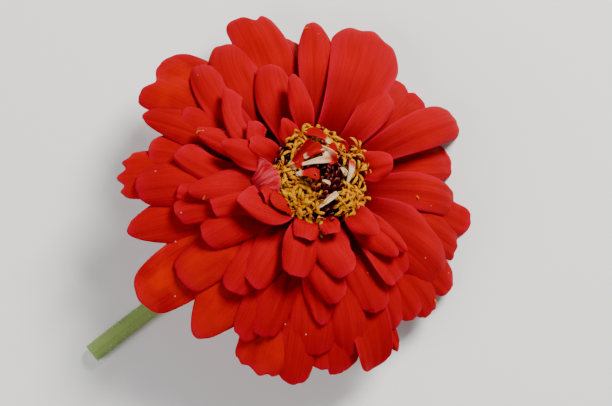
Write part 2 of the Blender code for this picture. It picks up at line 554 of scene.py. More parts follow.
@dataclass(frozen=True)
class Finish:
    """What every finish has: a name, the constants on its shader and the scales of its tissue.

    The depth is what a height of 1 stands for in its bump, in mm.
    """

    name: str
    roughness: float = 0.55
    specular: float = 0.35
    subsurface: float = 0.0
    subsurface_radius: Triple = (0.004, 0.0006, 0.0004)
    lines: float = 30.0
    patch_scale: float = 220.0
    cell_scale: float = 3000.0
    depth: float = 0.06

    def start(self) -> Tuple[Material, NodeGraph, Node]:
        """Makes the material with its shader and constants.

        Returns:
            The material, a graph on its tree, and its shader.
        """
        material = bpy.data.materials.new(self.name)
        material.use_nodes = True
        shader = material.node_tree.nodes["Principled BSDF"]
        shader.inputs["Roughness"].default_value = self.roughness
        shader.inputs["Specular IOR Level"].default_value = self.specular
        shader.inputs["Subsurface Weight"].default_value = self.subsurface
        shader.inputs["Subsurface Radius"].default_value = self.subsurface_radius
        shader.inputs["Subsurface Scale"].default_value = 1.0
        return material, NodeGraph(material.node_tree), shader

    def tissue(self, graph: NodeGraph) -> Tuple[Socket, Socket, Socket, Socket]:
        """Adds the shared fibre and mottle groups to a finish.

        Args:
            graph: The material's graph.

        Returns:
            Fine fibres, broad fibres, soft patches and cell grain.
        """
        across = graph.add("ShaderNodeUVMap", uv_map="tissue").outputs["UV"]
        seed = graph.product(graph.attribute("tone"), SEED_STEP)
        drawn = {"UV": across, "Lines": self.lines, "Seed": seed}
        fibres = graph.group(GROUPS.fibres(), drawn).outputs
        mottle = graph.group(GROUPS.mottle(), {"Patch": self.patch_scale, "Cell": self.cell_scale}).outputs
        return fibres["Fine"], fibres["Broad"], mottle["Patches"], mottle["Cells"]

    def dress(self, graph: NodeGraph, shader: Node, color: Socket, height: Socket) -> None:
        """Feeds a colour and a height to the shader.

        Args:
            graph: The material's graph.
            shader: Its shader.
            color: The base colour.
            height: The height, from 0 to 1.
        """
        graph.tree.links.new(color, shader.inputs["Base Color"])
        node = graph.add("ShaderNodeBump", {"Height": height, "Strength": 1.0, "Distance": self.depth * MM})
        graph.tree.links.new(node.outputs["Normal"], shader.inputs["Normal"])


@dataclass(frozen=True)
class PetalFinish(Finish):
    """Velvety petal tissue: a deep red with lengthwise veins and pale grains, with painted light in it."""

    roughness: float = 0.6
    specular: float = 0.02
    subsurface: float = 0.06
    lines: float = 34.0
    patch_scale: float = 140.0
    cell_scale: float = 4200.0
    depth: float = 0.10
    deep: Color = (0.17, 0.0, 0.001, 1)
    bright: Color = (0.38, 0.0, 0.003, 1)
    # Painted light: a crimson pink for the sheen of the velvet, an orange for light shining through, a darker
    # claw colour for the shade at the base and a pinker rim for the highlight on edges.
    blushed: Color = (0.39, 0.0, 0.008, 1)
    warm: Color = (0.50, 0.008, 0.0, 1)
    claw_shade_and_tint: Color = (0.05, 0.0, 0.001, 1)
    rim: Color = (0.48, 0.002, 0.022, 1)
    grain: Color = (0.70, 0.35, 0.30, 1)
    vein_base: float = -0.1
    vein_share: float = 1.1
    patch_share: float = 0.5
    blush_share: float = 0.7
    glow_patches: Pair = (0.38, 0.66)
    claw_end: float = 0.55
    claw_share: float = 0.85
    rim_highlight_share: float = 1.1
    rough_base: float = -0.07
    rough_swing: float = 0.15
    cell_share: float = 0.25
    grain_scale: float = 650.0
    grain_size: float = 0.12
    grain_rarity: float = 0.965
    grain_start: float = 0.55
    grain_share: float = 0.55

    def make(self) -> Material:
        """Builds the material.

        Returns:
            The material.
        """
        material, graph, shader = self.start()
        fine, broad, patches, cells = self.tissue(graph)
        along = graph.attribute("along")
        streak = graph.math("MULTIPLY_ADD", fine, self.vein_share, self.vein_base)
        cloud = graph.math("MULTIPLY_ADD", patches, self.patch_share, 0.0)
        share = graph.add("ShaderNodeMath", {0: streak, 1: cloud}, operation="ADD", use_clamp=True).outputs[0]
        color = graph.mix(share, self.deep, self.bright)
        # Painted sheen: a crimson pink over the inner petals that stands in for the sheen of their velvet.
        painted_sheen = graph.product(graph.attribute("blush"), share, self.blush_share)
        color = graph.mix(painted_sheen, color, self.blushed)
        # Painted glow: orange patches that stand in for light shining through the petal.
        glow = graph.product(graph.attribute("warmth"), graph.ranged(patches, self.glow_patches))
        color = graph.mix(glow, color, self.warm)
        # Towards the claw: painted shade at the base of the face and lined petals; on the underside the claw
        # colour is paler instead.
        near_claw = graph.ranged(along, (0.0, self.claw_end), (self.claw_share, 0.0))
        color = graph.mix(near_claw, color, self.claw_shade_and_tint)
        # Painted highlight: a pinker red along the edges and tip, where they catch the light.
        rim_highlight = graph.product(graph.attribute("rim"), patches, self.rim_highlight_share)
        color = graph.mix(graph.add("ShaderNodeClamp", {"Value": rim_highlight}).outputs[0], color, self.rim)
        color = graph.mix(self._grains(graph, along), color, self.grain)
        rough = graph.math("MULTIPLY_ADD", broad, self.rough_swing, self.roughness + self.rough_base)
        graph.tree.links.new(rough, shader.inputs["Roughness"])
        self.dress(graph, shader, color, graph.math("ADD", fine, graph.product(cells, self.cell_share)))
        return material

    def _grains(self, graph: NodeGraph, along: Socket) -> Socket:
        """Marks the few pale grains that lie on the outer half of a petal.

        Args:
            graph: The material's graph.
            along: The share of the petal's length.

        Returns:
            The mask.
        """
        place = graph.add("ShaderNodeTexCoord").outputs["Object"]
        scattered = {"Vector": place, "Scale": self.grain_scale, "Randomness": 1.0}
        spot = graph.add("ShaderNodeTexVoronoi", scattered)
        small = graph.math("LESS_THAN", spot.outputs["Distance"], self.grain_size)
        pick = graph.add("ShaderNodeSeparateColor", {"Color": spot.outputs["Color"]}).outputs[0]
        few = graph.math("GREATER_THAN", pick, self.grain_rarity)
        outer = graph.math("GREATER_THAN", along, self.grain_start)
        return graph.product(graph.product(small, few), graph.product(outer, self.grain_share))


@dataclass(frozen=True)
class LeafyFinish(Finish):
    """Green tissue of the stem and bracts, with a dark edge: the bracts' own tips, and painted shade on the
    stem's hidden rings.
    """

    body: Color = (0.10, 0.20, 0.04, 1)
    light: Color = (0.2, 0.32, 0.08, 1)
    edge: Color = (0.05, 0.02, 0.02, 1)
    edge_start: float = 0.86
    edge_width: float = 0.08
    patch_share: float = 0.5

    def make(self) -> Material:
        """Builds the material.

        Returns:
            The material.
        """
        material, graph, shader = self.start()
        fine, _, patches, cells = self.tissue(graph)
        color = graph.mix(fine, self.body, self.light)
        color = graph.mix(graph.product(patches, self.patch_share), color, self.body)
        # The dark edge is the bracts' own tip colour; on the stem it also paints the hidden rings dark as
        # shade.
        at_edge = graph.ranged(graph.attribute("along"), (self.edge_start, self.edge_start + self.edge_width))
        self.dress(graph, shader, graph.mix(at_edge, color, self.edge), graph.math("ADD", fine, cells))
        return material


@dataclass(frozen=True)
class TippedFinish(Finish):
    """Tissue that changes colour from base to tip: chaff, florets, young rays and the stem's cut."""

    lines: float = 16.0
    patch_scale: float = 500.0
    cell_scale: float = 6000.0
    stops: Tuple[Tuple[float, Color], ...] = ()
    speck: Color = (0.02, 0.0, 0.0, 1)
    speck_share: float = 0.3
    stray: float = 0.16

    def make(self) -> Material:
        """Builds the material.

        Returns:
            The material.
        """
        material, graph, shader = self.start()
        fine, _, patches, cells = self.tissue(graph)
        stray = graph.math("MULTIPLY_ADD", fine, self.stray, -self.stray / 2)
        color = graph.ramp(graph.math("ADD", graph.attribute("along"), stray), self.stops)
        color = graph.mix(graph.product(patches, self.speck_share), color, self.speck)
        self.dress(graph, shader, color, graph.math("ADD", fine, cells))
        return material


@dataclass(frozen=True)
class FloorFinish(Finish):
    """A plain pale matt surface."""

    pale: Color = (0.88, 0.88, 0.87, 1)

    def make(self) -> Material:
        """Builds the material.

        Returns:
            The material.
        """
        material, _, shader = self.start()
        shader.inputs["Base Color"].default_value = self.pale
        return material


@dataclass
class Palette:
    """Every finish of the flower, made once."""

    petal: Material
    underside: Material
    lined: Material
    stem: Material
    cut: Material
    bract: Material
    chaff: Material
    floret: Material
    young_ray: Material
    floor: Material

    @classmethod
    def make(cls) -> "Palette":
        """Builds all the materials.

        Returns:
            The palette.
        """
        return cls(
            petal=PetalFinish("petal_face", roughness=0.62).make(),
            underside=PetalFinish(
                "petal_underside",
                deep=(0.30, 0.006, 0.012, 1),
                bright=(0.50, 0.03, 0.05, 1),
                blushed=(0.55, 0.04, 0.08, 1),
                warm=(0.56, 0.05, 0.03, 1),
                claw_shade_and_tint=(0.40, 0.10, 0.06, 1),
                vein_share=1.4,
            ).make(),
            lined=PetalFinish(
                "petal_lined",
                deep=(0.42, 0.0, 0.006, 1),
                bright=(0.58, 0.05, 0.075, 1),
                blushed=(0.58, 0.05, 0.075, 1),
                claw_shade_and_tint=(0.26, 0.0, 0.01, 1),
                rim=(0.50, 0.02, 0.045, 1),
                vein_base=-2.0,
                vein_share=4.2,
                lines=15.0,
            ).make(),
            stem=LeafyFinish(
                "stem_skin",
                roughness=0.5,
                body=(0.16, 0.29, 0.05, 1),
                light=(0.44, 0.54, 0.17, 1),
                lines=44.0,
            ).make(),
            cut=TippedFinish(
                "stem_cut",
                roughness=0.65,
                specular=0.1,
                stops=(
                    (0.0, (0.80, 0.78, 0.58, 1)),
                    (0.26, (0.68, 0.71, 0.45, 1)),
                    (0.33, (0.30, 0.42, 0.14, 1)),
                    (0.40, (0.56, 0.63, 0.34, 1)),
                    (0.50, (0.22, 0.35, 0.09, 1)),
                ),
                speck=(0.50, 0.53, 0.30, 1),
                speck_share=0.4,
            ).make(),
            bract=LeafyFinish("bract_green").make(),
            chaff=TippedFinish(
                "chaff_maroon",
                roughness=0.5,
                specular=0.12,
                stops=(
                    (0.0, (0.03, 0.0, 0.003, 1)),
                    (0.6, (0.19, 0.0, 0.010, 1)),
                    (0.86, (0.42, 0.002, 0.016, 1)),
                    (1.0, (0.54, 0.17, 0.09, 1)),
                ),
            ).make(),
            floret=TippedFinish(
                "floret_yellow",
                subsurface=0.15,
                subsurface_radius=(0.001, 0.0006, 0.0002),
                specular=0.0,
                stops=(
                    (0.0, (0.09, 0.002, 0.0, 1)),
                    (0.38, (0.46, 0.075, 0.0, 1)),
                    (0.75, (0.61, 0.32, 0.0, 1)),
                ),
                speck=(0.53, 0.13, 0.0, 1),
                speck_share=0.45,
            ).make(),
            young_ray=TippedFinish(
                "young_ray",
                roughness=0.6,
                specular=0.05,
                subsurface=0.06,
                stops=(
                    (0.0, (0.90, 0.72, 0.40, 1)),
                    (0.36, (0.78, 0.56, 0.30, 1)),
                    (0.50, (0.60, 0.12, 0.07, 1)),
                    (0.60, (0.46, 0.006, 0.008, 1)),
                    (1.0, (0.38, 0.0, 0.003, 1)),
                ),
                speck=(0.20, 0.0, 0.002, 1),
                speck_share=0.35,
            ).make(),
            floor=FloorFinish("pale_surface", roughness=0.85).make(),
        )


# ---- Petals ----


class Tip(Enum):
    """How a petal ends.

    The values are the depth of its rounding in half widths, the power of that round, its width at
    the tip as a share of the greatest width, and the depth in mm of what is cut into it.
    """

    ROUND = (0.84, 2.4, 0.88, 0.0)
    BLUNT = (0.55, 2.8, 0.92, 0.0)
    POINTED = (1.35, 1.8, 0.66, 0.0)
    NOTCHED = (0.60, 2.6, 0.94, 3.2)
    TOOTHED = (0.34, 3.4, 0.98, 2.7)
    RAGGED = (0.55, 2.6, 0.94, 2.2)


@dataclass(frozen=True)
class Petal:
    """One ray floret.

    It lies on its level, and curls less than that by its ease. The bends are half angles of the arc
    that the petal's cross-section makes, in degrees: positive lifts the edges into a channel,
    negative lets them fall over a dome. The drift, in degrees, sweeps its outer part round the axis,
    the roll, in mm, lifts one edge over the other, and the backlit glow is the share of painted
    orange glow in its red, which stands in for light shining through the petal.
    What is in capitals holds for every petal, with lengths in mm.
    """

    level: float
    azimuth: float
    length: float
    width: float
    tip: Tip = Tip.ROUND
    ease: float = 0.0
    claw_bend: float = 34.0
    tip_bend: Optional[float] = None
    roll: float = 0.0
    drift: float = 0.0
    widest: float = 0.60
    warmth: float = 0.0
    ripple: float = 0.35
    seed: int = 0

    CELLS = (22, 16)
    THICKNESS = 0.22
    DISC_RADIUS = 8.0
    CLAW_WIDTH = 0.44
    TAPER = 2.2
    FULLNESS = 1.23
    NOTCH_AT = -0.15
    NOTCH_WIDTH = 0.26
    TEETH = 3
    RAGS = 3.1
    UNEVEN = 0.4
    SWAYS = 1.6
    FRINGE = 0.5
    FRINGES = 5.0
    SLANT = 0.05
    GROOVE_AT = 0.34
    GROOVE_WIDTH = 0.16
    GROOVE_DEPTH = 0.30
    GROOVE_OPENING = 2.5
    RIPPLES = (2.1, 0.9)
    RIPPLE_GAIN = 1.6
    FINE_RIPPLES = 3.1
    PLEATS = 0.16
    FOLDS = (3.6, 0.8)
    OPENING = 1.6
    TIP_FALL = 1.0
    DOME = (-26.0, -66.0)
    DOMED_LEVEL = 7
    ARCHING = 1.35
    FLATTEST = 1e-3
    NEAREST = 4.0
    FLOOR_GAP = 0.15
    FLOOR_PRESS = 0.5
    FLOOR_REACH = 6
    FLOOR_SPREAD = 0.7

    def width_share(self, along: float) -> float:
        """Works out the width at a share of the length.

        Args:
            along: From 0 at the base to 1 at the tip.

        Returns:
            The width as a part of the greatest width.
        """
        if along < self.widest:
            return self.CLAW_WIDTH + (1 - self.CLAW_WIDTH) * smooth(along / self.widest)
        past = (along - self.widest) / (1 - self.widest)
        return 1 - (1 - self.tip.value[2]) * past**self.TAPER

    def cut_back(self, across: float, along: float) -> float:
        """Works out how far the outline lies behind the full length.

        Args:
            across: From -1 at one edge to 1 at the other.
            along: From 0 at the base to 1 at the tip.

        Returns:
            The distance in mm.
        """
        rounding, power, _, depth = self.tip.value
        arc = 1 - (1 - min(abs(across), 1.0) ** power) ** (1 / power)
        back = 0.5 * self.width * self.FULLNESS * rounding * arc * along**4
        if self.tip is Tip.NOTCHED:
            back += depth * math.exp(-(((across - self.NOTCH_AT) / self.NOTCH_WIDTH) ** 2)) * along**10
        elif self.tip is Tip.TOOTHED:
            back += depth * (0.5 - 0.5 * math.cos(self.TEETH * math.pi * across)) * along**9
        elif self.tip is Tip.RAGGED:
            back += depth * abs(wander(across * self.RAGS, self.seed * 1.7, 0.0)) * 2 * along**9
        back += self.UNEVEN * wander(across * self.SWAYS, self.seed * 3.1, 5.0) * along**6
        back += self.FRINGE * wander(across * self.FRINGES, self.seed * 1.9, 3.0) * along**8
        back += self.SLANT * self.length * wander(self.seed * 5.3, 2.0, 1.0) * across * along**4
        return back

    def relief(self, across: float, along: float) -> float:
        """Works out the grooves, ripples and pleats of the petal.

        Args:
            across: From -1 at one edge to 1 at the other.
            along: From 0 at the base to 1 at the tip.

        Returns:
            The height above the petal's level in mm.
        """
        past = ((across - side * self.GROOVE_AT) / self.GROOVE_WIDTH for side in (-1, 1))
        grooves = sum(math.exp(-(distance**2)) for distance in past)
        height = -self.GROOVE_DEPTH * grooves * smooth(along * self.GROOVE_OPENING) * (1 - 0.5 * along**4)
        here = Vector((along * self.RIPPLES[0], across * self.RIPPLES[1], self.seed * 7.3))
        opened = smooth(along * self.OPENING)
        height += self.ripple * noise.noise(here) * self.RIPPLE_GAIN * opened
        height += 0.5 * self.ripple * noise.noise(here * self.FINE_RIPPLES) * across * across * along
        folds = wander(across * self.FOLDS[0], along * self.FOLDS[1], self.seed * 2.9)
        height += self.PLEATS * folds * 2 * opened
        height += self.roll * across * smooth(along)
        return height - self.TIP_FALL * along**4

    def on_floor(self, point: Vector) -> Vector:
        """Bends a point that would sink into the surface up and outwards, so that the tip lies on it.

        Args:
            point: The point in the frame, in metres.

        Returns:
            The same point where it is clear of the surface, or its new place.
        """
        above = (point.z / MM - self.FLOOR_GAP) / self.FLOOR_PRESS
        if above < self.FLOOR_REACH:
            height = (self.FLOOR_GAP + self.FLOOR_PRESS * math.log1p(math.exp(above))) * MM
            away = Vector((point.x - POSE.place.x, point.y - POSE.place.y, 0)).normalized()
            point += away * (height - point.z) * self.FLOOR_SPREAD
            point.z = height
        return point

    def place(self, across: float, along: float) -> Vector:
        """Places a point of the petal.

        Args:
            across: From -1 at one edge to 1 at the other.
            along: From 0 at the base to 1 at the tip.

        Returns:
            The point in the frame, in metres.
        """
        azimuth = math.radians(self.azimuth)
        drift = math.radians(self.drift)
        run = self.length * along - self.cut_back(across, along)
        tip_bend = self.tip_bend
        if tip_bend is None:
            tip_bend = blend(self.DOME, smooth(self.level / self.DOMED_LEVEL))
        bend = math.radians(blend((self.claw_bend, tip_bend), smooth(along * self.ARCHING)))
        bend = math.copysign(max(abs(bend), self.FLATTEST), bend)
        half = self.width * self.FULLNESS * self.width_share(along) / 2
        side = half * math.sin(across * abs(bend)) / abs(bend)
        swing = math.atan2(2 * drift * along * (run + self.DISC_RADIUS), self.length)
        run -= side * math.sin(swing)
        side *= math.cos(swing)
        radius, height, slope = LEVELS.point(self.level, azimuth, max(run, 0.0), self.ease)
        lift = half * (1 - math.cos(across * bend)) / bend + self.relief(across, along)
        radius -= lift * math.sin(slope)
        height += lift * math.cos(slope)
        turn = azimuth + side / max(radius, self.NEAREST) + drift * along**2
        return self.on_floor(POSE.point(radius, turn, height))


class PetalMaker:
    """Makes petals, each as its own closed piece."""

    TONE_STEP = 0.137
    # Petals from this level inwards take the full painted sheen.
    SHEEN_LEVEL = 6

    def __init__(self, palette: Palette) -> None:
        """Starts with the finishes."""
        self.palette = palette

    def build(self, name: str, petal: Petal) -> Object:
        """Models one petal: a sheet that is laid along its level, thickened and subdivided.

        Args:
            name: The piece's name.
            petal: Its shape.

        Returns:
            The piece.
        """
        sheet, flat = new_sheet(name, petal.CELLS)
        shares = [(math.sin(math.pi * across / 2) / 2 + across / 2, along) for across, along in flat]
        for vert, (across, along) in zip(sheet.data.vertices, shares):
            vert.co = petal.place(across, along)
        # The rim mask, glow share and sheen share tell the finish where to paint its highlight, its glow
        # shining through and its sheen.
        mark_tissue(
            sheet.data,
            along=(along for _, along in shares),
            rim=(max(abs(across), along**3) ** 6 for across, along in shares),
            tone=petal.seed * self.TONE_STEP % 1.0,
            warmth=petal.warmth,
            blush=min(petal.level / self.SHEEN_LEVEL, 1.0),
        )
        finish_mesh(sheet, (self.palette.petal, self.palette.underside))
        thicken(sheet, petal.THICKNESS, levels=1, material_offset=1)
        return sheet


R, B, P, N, T, J = Tip.ROUND, Tip.BLUNT, Tip.POINTED, Tip.NOTCHED, Tip.TOOTHED, Tip.RAGGED

# The petals that stand for the frame's own, tier by tier and in the frame's order.
# A petal's glow share paints orange glow on it, standing in for light shining through.
FRAMED: Dict[str, Tuple[Petal, ...]] = {
    "rim": (
        Petal(2, 3.6, 37, 8.2, N),
        Petal(1, 19, 36.6, 8.4, B, widest=0.7),
        Petal(3, 30, 42.8, 8.8, B, ease=0.25, widest=0.7),
        Petal(0, 41, 37.5, 8.1, R),
        Petal(1, 48, 38.4, 8.1, R),
        Petal(2, 84, 39.4, 8.4, P, ease=0.20),
        Petal(0, 103, 42.2, 11.6, N, ease=0.10),
        Petal(2, 130, 35.2, 10.4, R, drift=-16),
        Petal(0, 133.2, 39.2, 11.6, R, warmth=0.5),
        Petal(1, 143.1, 39.3, 10.6, N, warmth=0.4),
        Petal(2, 155, 34.9, 7.4, P),
        Petal(0, 176, 35.3, 10.1, J, warmth=0.3),
        Petal(1, 195, 34.6, 11.4, P, claw_bend=-20, tip_bend=-48, roll=-0.3),
        Petal(0, 215, 38, 12.0, R, warmth=0.9),
        Petal(1, 234, 35.2, 13.6, P, warmth=0.4),
        Petal(0, 257, 36, 11.6, J, warmth=0.5),
        Petal(1, 268, 37.5, 7.8, R),
        Petal(2.4, 274, 30.8, 12.2, R, widest=0.7),
        Petal(0, 279, 33, 8.1, B),
        Petal(1, 296, 37.3, 8.8, R, tip_bend=34.0),
        Petal(2, 308.1, 31, 7.4, R),
        Petal(1, 323.9, 36.3, 8.0, J),
        Petal(0, 335, 36.5, 8.0, R),
        Petal(1, 348.9, 36.4, 8.4, J),
        Petal(0, 358, 38.3, 8.0, R),
    ),
    "lower": (
        Petal(3, 65.5, 42.3, 16.4, T, ease=0.30, widest=0.88),
        Petal(3, 145, 32.6, 6.8, R, drift=-16),
        Petal(3, 151, 26, 6.4, R),
        Petal(3, 181, 32.9, 9.8, R),
        Petal(3, 218, 29.7, 9.6, B, warmth=0.5),
        Petal(3, 253, 28.9, 7.8, R),
        Petal(3, 336.4, 35.8, 13.8, R),
    ),
    "middle": (
        Petal(4, 115, 23, 8.4, R, drift=-8),
        Petal(4, 182, 23.8, 6.4, R, drift=-14),
        Petal(4, 195, 24.8, 6.8, R),
        Petal(4, 234, 24, 8.0, R),
        Petal(4, 275, 24.7, 8.0, P),
        Petal(4, 298.9, 23.7, 8.2, R),
    ),
    "upper": (
        Petal(5, 51, 26, 7.6, B, widest=0.8),
        Petal(5, 158, 21.4, 5.6, P),
        Petal(5, 210, 21.5, 8.6, R),
        Petal(5, 239, 20.5, 8.2, R),
        Petal(5, 315, 21.8, 7.4, B, tip_bend=24.0, widest=0.8),
        Petal(6, 188, 22, 7.9, P),
        Petal(6, 269, 20.5, 7.2, R, drift=12),
    ),
    "crown": (
        Petal(7, 318.4, 17.5, 7.4, P),
        Petal(8, 166, 11.3, 5.6, R, drift=-25),
        Petal(8, 165.1, 16, 6.6, P),
        Petal(8, 256.1, 16.7, 8.6, R, roll=-0.8),
        Petal(8, 278, 15.5, 8.8, R, drift=8),
        Petal(10, 313, 11, 6.4, P),
        Petal(10, 255.2, 8.1, 6.0, R),
    ),
}

# Petals that fill the head between those.
BETWEEN: Tuple[Petal, ...] = (
    Petal(0, 92, 32.8, 7.4, R),
    Petal(1, 79, 31.5, 6.0, R),
    Petal(1, 285, 35.4, 7.2, B),
    Petal(0, 302, 35, 3.8, P, drift=3),
    Petal(3, 287.8, 33.4, 8.2, R),
    Petal(2, 246.8, 30.4, 6.4, R),
    Petal(4, 195, 23.3, 5.2, R, drift=-9),
    Petal(4, 302, 25.3, 8.2, R),
    Petal(6, 158, 22, 4.6, P, drift=-24),
    Petal(6, 197, 17.5, 8.4, R),
    Petal(7, 323.9, 18.7, 4.4, P),
    Petal(8, 102.9, 17.9, 5.4, P),
    Petal(9, 156.8, 10.1, 6.0, R),
    Petal(10, 14.8, 9.6, 7.0, R),
    Petal(10, 125.2, 7.5, 4.6, P),
    Petal(11, 279, 6.3, 4.6, R),
    Petal(9, 227, 12.0, 6.6, R, drift=-30, tip_bend=-40),
    Petal(10, 205, 7, 5.0, R),
    Petal(1, 316.7, 31.8, 7.6, R),
    Petal(1, 167, 29.0, 8.4, R),
)


@dataclass
class RayFlorets:
    """All the petals of the head."""

    palette: Palette
    framed: Dict[str, Tuple[Petal, ...]] = field(default_factory=lambda: FRAMED)
    between: Tuple[Petal, ...] = BETWEEN

    def build(self) -> List[Object]:
        """Builds every petal and ties it to the frame.

        Returns:
            The pieces.
        """
        maker = PetalMaker(self.palette)
        pieces = []
        for tier, petals in (*self.framed.items(), ("between", self.between)):
            for number, petal in enumerate(petals, start=1):
                label = f"{tier}_{number:02d}"
                nodes = (f"petal_{label}",) if tier in self.framed else ()
                ray = maker.build(f"ray_{label}", replace(petal, seed=len(pieces) + 1))
                pieces.append(place_piece(ray, "petal", *nodes))
        return pieces


# ---- The disc ----


@dataclass(frozen=True)
class Dome:
    """The dome that the chaff stands on, and over it the crown that the open florets reach."""

    top: float = 20.0
    drop: float = 0.075
    crown_top: float = 19.4
    crown_drop: float = 0.024

    def height(self, radius: float) -> float:
        """Returns the height of the dome's surface at a radius, both in mm."""
        return self.top - self.drop * radius * radius

    def crown_height(self, radius: float) -> float:
        """Returns the height that the open florets reach at a radius, both in mm."""
        return self.crown_top - self.crown_drop * radius * radius


DOME = Dome()


def stand(obj: Object, place: Triple, tilt: float, spin: float) -> None:
    """Stands a small part on the disc.

    Args:
        obj: The part, modelled upright at the origin in metres.
        place: Radius in mm, azimuth in radians and height in mm.
        tilt: Lean outwards in radians.
        spin: Turn about its own axis in radians.
    """
    local = (
        Matrix.Translation(polar(*place) * MM)
        @ Matrix.Rotation(place[1], 4, "Z")
        @ Matrix.Rotation(tilt, 4, "Y")
        @ Matrix.Rotation(spin, 4, "Z")
    )
    obj.data.transform(POSE.matrix @ local)


@dataclass
class Chaff:
    """The dome of the disc, with the narrow scales that stand on it and down the receptacle's side.

    A scale's spread is its lean outwards for each mm from the axis; sizes and leans are drawn
    between their limits.
    """

    palette: Palette
    seed: int = 11
    dome_cells: Tuple[int, int] = (32, 16)
    dome_radius: float = 8.8
    dome_sink: float = 1.3
    dome_foot: float = 8.0
    dome_tint: float = 0.1
    dome_tone: float = 0.5
    cells: Tuple[int, int] = (6, 4)
    length: float = 3.6
    half_width: float = 0.62
    outline: Pair = (0.2, 0.86)
    fold: float = 0.55
    bend: float = 0.5
    fray: float = 0.5
    teeth: float = 2.2
    tone: float = 0.3
    wall: float = 0.12
    scales: int = 170
    reach: float = 9.0
    sink: float = 2.0
    sizes: Pair = (0.75, 1.1)
    spread: float = 0.05
    lean: Pair = (-0.15, 0.15)
    spin: float = 0.4
    side_tiers: Tuple[float, ...] = (8.0, 10.0, 12.0, 13.6)
    side_scales: int = 22
    side_sizes: Pair = (1.1, 1.4)
    side_tilt: float = 0.45
    side_lean: Pair = (-0.1, 0.15)
    side_spin: float = 0.3
    side_shift: float = 0.06

    def _scale(self) -> Object:
        """Models one scale: a narrow folded leaf with a frayed tip.

        Returns:
            The scale, standing at the origin.
        """
        scale, shares = new_sheet("chaff_scale", self.cells)
        for vert, (across, along) in zip(scale.data.vertices, shares):
            half = self.half_width * math.sin(math.pi * blend(self.outline, along))
            frayed = self.fray * abs(math.sin(self.teeth * math.pi * across)) * along**6
            out = self.fold * across * across * half - self.bend * along * along
            vert.co = Vector((out, across * half, self.length * along - frayed)) * MM
        mark_tissue(scale.data, along=(along for _, along in shares), tone=self.tone)
        finish_mesh(scale, (self.palette.chaff,))
        thicken(scale, self.wall)
        return scale

    def _dome(self) -> Object:
        """Models the dome under the scales.

        Returns:
            The dome, in its place.
        """
        deselect()
        segments, rings = self.dome_cells
        bpy.ops.mesh.primitive_uv_sphere_add(segments=segments, ring_count=rings, radius=1.0)
        dome = added("chaff_dome")
        for vert in dome.data.vertices:
            radius = self.dome_radius * math.hypot(vert.co.x, vert.co.y)
            height = DOME.height(radius) - self.dome_sink if vert.co.z > 0 else self.dome_foot
            place = Vector((vert.co.x * self.dome_radius, vert.co.y * self.dome_radius, height))
            vert.co = POSE.matrix @ (place * MM)
        mark_tissue(dome.data, along=self.dome_tint, tone=self.dome_tone)
        return finish_mesh(dome, (self.palette.chaff,))

    def build(self) -> List[Object]:
        """Builds the dome with all its scales.

        Returns:
            The one piece.
        """
        rng = random.Random(self.seed)
        parts = [self._dome()]
        model = self._scale()

        def grow(sizes: Pair, place: Triple, tilt: float, lean: Pair, spin: float) -> None:
            """Stands one more scale on the disc.

            Args:
                sizes: Limits of its size.
                place: Radius in mm, azimuth in radians and height in mm.
                tilt: Its lean outwards in radians.
                lean: Limits of what is added to that.
                spin: Limit of its turn either way in radians.
            """
            scale = copied(model)
            scale.data.transform(Matrix.Scale(rng.uniform(*sizes), 4))
            stand(scale, place, tilt + rng.uniform(*lean), rng.uniform(-spin, spin))
            parts.append(scale)

        for index in range(self.scales):
            radius = self.reach * math.sqrt((index + 0.5) / self.scales)
            place = (radius, index * GOLDEN_ANGLE, DOME.height(radius) - self.sink)
            grow(self.sizes, place, self.spread * radius, self.lean, self.spin)
        # The scales down the receptacle's side are chaff, and are also dark sheets tucked between the petals'
        # bases as painted shade there.
        for tier, height in enumerate(self.side_tiers):
            for index in range(self.side_scales):
                azimuth = math.tau * (index + 0.5 * (tier % 2)) / self.side_scales
                azimuth += rng.uniform(-self.side_shift, self.side_shift)
                place = (self.reach, azimuth, height)
                grow(self.side_sizes, place, self.side_tilt, self.side_lean, self.side_spin)
        bpy.data.objects.remove(model, do_unlink=True)
        return [place_piece(joined("chaff", parts), "chaff", "disc_chaff")]


@dataclass(frozen=True)
class Lobe:
    """One lobe of a floret: a fleshy finger that stands up and rolls back outwards.

    Its length and half width in mm and its turn in degrees are drawn between their limits.
    """

    cells: Tuple[int, int] = (10, 10)
    length: Pair = (3.0, 3.9)
    turn: Pair = (110.0, 205.0)
    half_width: Pair = (0.32, 0.39)
    depth: float = 0.26
    start: float = math.radians(72)
    groove: float = 0.35
    swell: Pair = (0.7, 1.3)
    bluntness: float = 0.45
    pole: float = 0.05
    tint: Pair = (0.25, 1.0)

    def model(self, name: str, rng: random.Random, size: float) -> Object:
        """Models the lobe.

        Args:
            name: The part's name.
            rng: What varies its curl and its length.
            size: Its size beside an ordinary lobe.

        Returns:
            The part, with its root at the origin and its curl towards +X.
        """
        deselect()
        segments, rings = self.cells
        bpy.ops.mesh.primitive_uv_sphere_add(segments=segments, ring_count=rings, radius=1.0)
        finger = added(name)
        length = rng.uniform(*self.length) * size
        turn = math.radians(rng.uniform(*self.turn))
        half = rng.uniform(*self.half_width) * size
        depth = self.depth * size
        radius = length / turn
        shares = []
        for vert in finger.data.vertices:
            share = math.acos(min(max(-vert.co.z, -1.0), 1.0)) / math.pi
            slope = self.start - turn * share
            out = math.sin(self.start) - math.sin(slope)
            middle = Vector((out, 0, math.cos(slope) - math.cos(self.start))) * radius
            outward = Vector((-math.sin(slope), 0, math.cos(slope)))
            groove = self.groove * (1 - abs(vert.co.y)) if vert.co.x > 0 else 0.0
            plump = max(math.hypot(vert.co.x, vert.co.y), self.pole) ** -self.bluntness
            point = middle + outward * vert.co.x * plump * depth * (1 - groove)
            point += Vector((0, vert.co.y * plump * half * blend(self.swell, share), 0))
            vert.co = point * MM
            shares.append(blend(self.tint, share))
        mark_tissue(finger.data, along=shares, tone=rng.random())
        return finger


